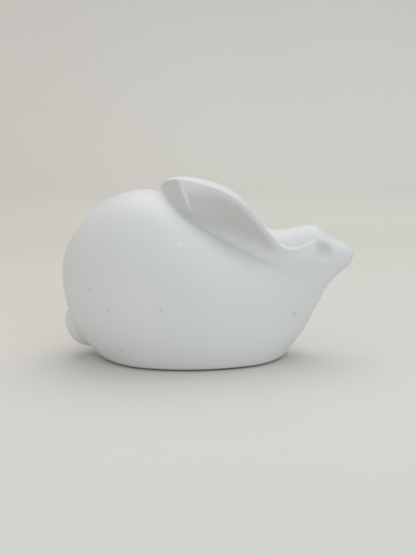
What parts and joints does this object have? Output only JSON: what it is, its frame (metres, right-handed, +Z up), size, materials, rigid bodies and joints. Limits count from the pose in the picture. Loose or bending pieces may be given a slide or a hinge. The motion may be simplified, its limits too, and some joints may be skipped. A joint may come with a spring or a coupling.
{
  "type": "rabbit figurine",
  "caption": "Crouching rabbit ornament in matt white ceramic: hollow cast body closed by a base slab, with luted ears and tail, standing on a felt pad.",
  "frame": {"origin": "on the table, under the middle of the object's length and width", "axes": "+X from the rump to the nose, +Y to the rabbit's left, +Z up"},
  "size_m": [0.15, 0.0825, 0.0958],
  "materials": {
    "glazed_body": "matt white glaze",
    "bare_clay": "unglazed",
    "felt": "pressed felt"
  },
  "bodies": {
    "root": {"body_shell": "glazed_body", "base_slab": "bare_clay", "right_ear": "glazed_body", "left_ear": "glazed_body", "tail": "glazed_body", "felt_pad": "felt"}
  },
  "joints": []
}
